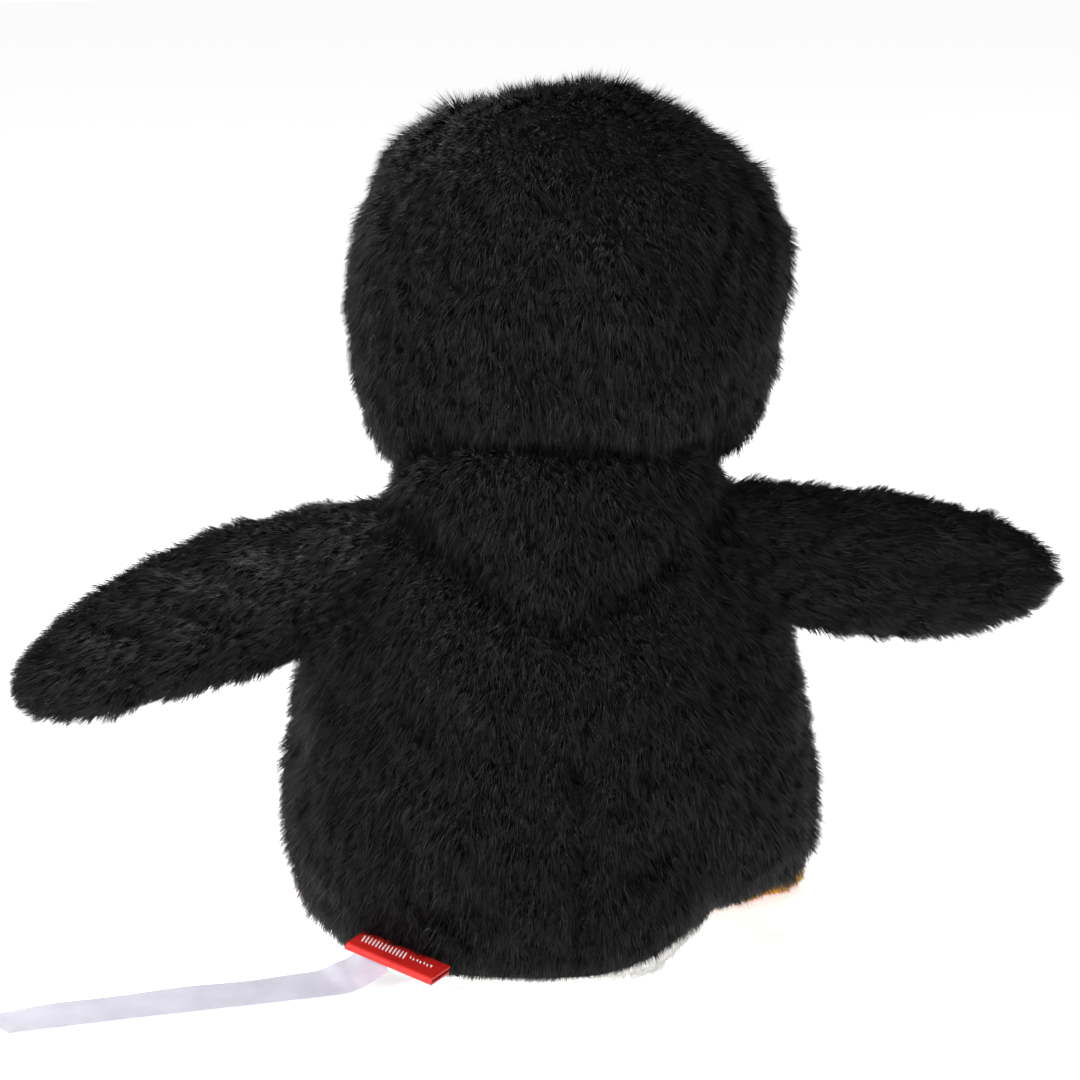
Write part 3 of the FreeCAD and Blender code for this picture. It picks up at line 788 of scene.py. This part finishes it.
def make_ribbon():
    rows, columns = 160, 13
    place = np.linspace(0, len(RIBBON) - 1, rows)
    x, y, low, bank = (curve(list(enumerate(measure)), place) for measure in zip(*RIBBON))
    line = np.stack([x, y], 1)
    ahead = unit(np.gradient(line, axis=0))
    across = np.stack([ahead[:, 1], -ahead[:, 0]], 1)
    bank = np.radians(bank)
    share = np.linspace(-0.5, 0.5, columns)
    aside = across[:, None, :] * (share * RIBBON_WIDE)[None, :, None] * np.cos(bank)[:, None, None]
    flat = line[:, None, :] + aside
    # the end is cut a little askew
    slant = smooth(rows - 14, rows - 1, np.arange(rows))[:, None] * (share[None, :] * 5.0)
    flat = flat + ahead[:, None, :] * slant[:, :, None]
    rise = low[:, None] + (share[None, :] + 0.5) * RIBBON_WIDE * np.sin(bank)[:, None]
    rise = rise + 0.35 * np.sin(place * 2.1)[:, None] ** 2 * (share[None, :] + 0.5)
    upper = np.concatenate([flat, rise[:, :, None] + RIBBON_THICK], -1)
    lower = np.concatenate([flat, rise[:, :, None]], -1)
    skin = Skin(np.concatenate([upper, lower[:, ::-1]], 1))
    count = 2 * columns
    ends = [np.array([[k, k + 1, count - 2 - k, count - 1 - k] for k in range(columns - 1)])]
    ends.append(ends[0][:, ::-1] + (rows - 1) * count)
    ribbon = make_mesh("satin_ribbon", skin.points, np.concatenate([skin.quads, *ends]), SATIN,
                       smooth_faces=False)
    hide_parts("care_label", "care_label_sewn_end")
    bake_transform(ribbon)


# the tag's frame: the middle of its sewn edge, then turn, tip and droop in degrees
TAG_SPOT, TAG_TURN, TAG_TIP, TAG_DROOP = (46.0, 37.2, 10.5), 55.0, -15.0, 5.0


def make_tag_marks():
    """Plain slanted strokes woven into the red tag, and a row of short dots beside them."""
    aim = np.array(Matrix.Rotation(math.radians(TAG_TURN), 3, "Z")
                   @ Matrix.Rotation(math.radians(TAG_TIP), 3, "X")
                   @ Matrix.Rotation(math.radians(TAG_DROOP), 3, "Y"))
    strokes = [((2.2, y, y + 1.1), 4.6) for y in np.linspace(-12.0, 1.0, 13)]
    strokes += [((3.4 + 0.35 * (k % 2), y, y + 0.5), 1.5)
                for k, y in enumerate(np.linspace(3.0, 9.5, 7))]
    points, faces = [], []
    for (x, y1, y2), long in strokes:
        rows, columns = 7, 8
        along = np.linspace(0, 1, rows)[:, None]
        turn = round_about(columns)[None, :]
        thick = 0.24 * np.sqrt(np.maximum(1 - (2 * along - 1) ** 4, 0.02))
        local = np.stack([x + along * long + 0 * turn, y1 + (y2 - y1) * along + thick * np.cos(turn),
                          TAG_TOP + 0.35 * thick * np.sin(turn)], -1)
        stroke = Skin(local)
        faces.append(stroke.quads + sum(len(p) for p in points))
        points.append(stroke.points @ aim.T + np.array(TAG_SPOT))
    marks = make_mesh("tag_strokes", np.concatenate(points), np.concatenate(faces), THREAD)
    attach(marks, "torso")


# ---------------------------------------------------------------- stage
FLOOR_HALF = 3000.0            # half the side of the floor
SENSOR = 36.0


def look(way):
    return Vector(way).to_track_quat("-Z", "Y").to_euler()


def make_stage():
    material, _, shader = nodes_of("studio_floor")
    shader.inputs["Base Color"].default_value = (0.9, 0.9, 0.9, 1)
    shader.inputs["Emission Color"].default_value = (1, 1, 1, 1)
    shader.inputs["Emission Strength"].default_value = 0.72
    shader.inputs["Roughness"].default_value = 0.6
    shader.inputs["Specular IOR Level"].default_value = 0.2
    corners = np.array([[-1, -1, 0], [1, -1, 0], [1, 1, 0], [-1, 1, 0]]) * FLOOR_HALF
    make_mesh("floor", corners, np.array([[0, 1, 2, 3]]), material)

    world = bpy.data.worlds.new("studio")
    bpy.context.scene.world = world
    world.use_nodes = True
    # the backdrop is white, and the light that it throws on the toy is dimmer
    tree = world.node_tree
    backdrop = tree.nodes["Background"]
    backdrop.inputs["Color"].default_value = (1, 1, 1, 1)
    ambient = tree.nodes.new("ShaderNodeBackground")
    ambient.inputs["Strength"].default_value = 0.3
    ray = tree.nodes.new("ShaderNodeLightPath")
    mix = tree.nodes.new("ShaderNodeMixShader")
    tree.links.new(ray.outputs["Is Camera Ray"], mix.inputs["Fac"])
    tree.links.new(ambient.outputs["Background"], mix.inputs[1])
    tree.links.new(backdrop.outputs["Background"], mix.inputs[2])
    tree.links.new(mix.outputs["Shader"], tree.nodes["World Output"].inputs["Surface"])
    bpy.context.scene.view_settings.view_transform = "Standard"

    for name, spot, aim, wide, power in (
        ("key", (0.85, 0.90, 0.50), (0, 0, 0.12), 0.4, 24.0),
        ("fill", (-0.7, 1.0, 0.25), (0, 0, 0.10), 0.5, 3.5),
        ("front_fill", (0.5, -1.1, 0.8), (0, 0, 0.12), 0.9, 11.0),
        ("top", (0, 0.1, 1.4), (0, 0, 0.0), 1.4, 7.0),
    ):
        lamp = bpy.data.lights.new(name, "AREA")
        lamp.energy, lamp.size = power, wide
        piece = bpy.data.objects.new(name, lamp)
        bpy.context.scene.collection.objects.link(piece)
        piece.location = spot
        piece.rotation_euler = look((np.array(aim) - np.array(spot)).tolist())


def make_camera():
    turn, rise, far = math.radians(9.0), math.radians(11.0), 1.45
    lens = bpy.data.cameras.new("camera")
    camera = bpy.data.objects.new("camera", lens)
    bpy.context.scene.collection.objects.link(camera)
    aim = np.array([0.0033, 0, 0.1168])
    back = np.array([math.sin(turn) * math.cos(rise), math.cos(turn) * math.cos(rise),
                     math.sin(rise)])
    camera.location = aim + back * far
    camera.rotation_euler = look((-back).tolist())
    lens.sensor_width = SENSOR
    lens.lens = SENSOR * far / 0.300       # the picture takes in 300 mm at the toy
    bpy.context.scene.camera = camera


make_torso()
make_head()
make_beak()
for side in ("left", "right"):
    make_flipper(side)
    make_foot(side)
make_ribbon()
make_tag_marks()
dress_nodes()
make_stage()
make_camera()
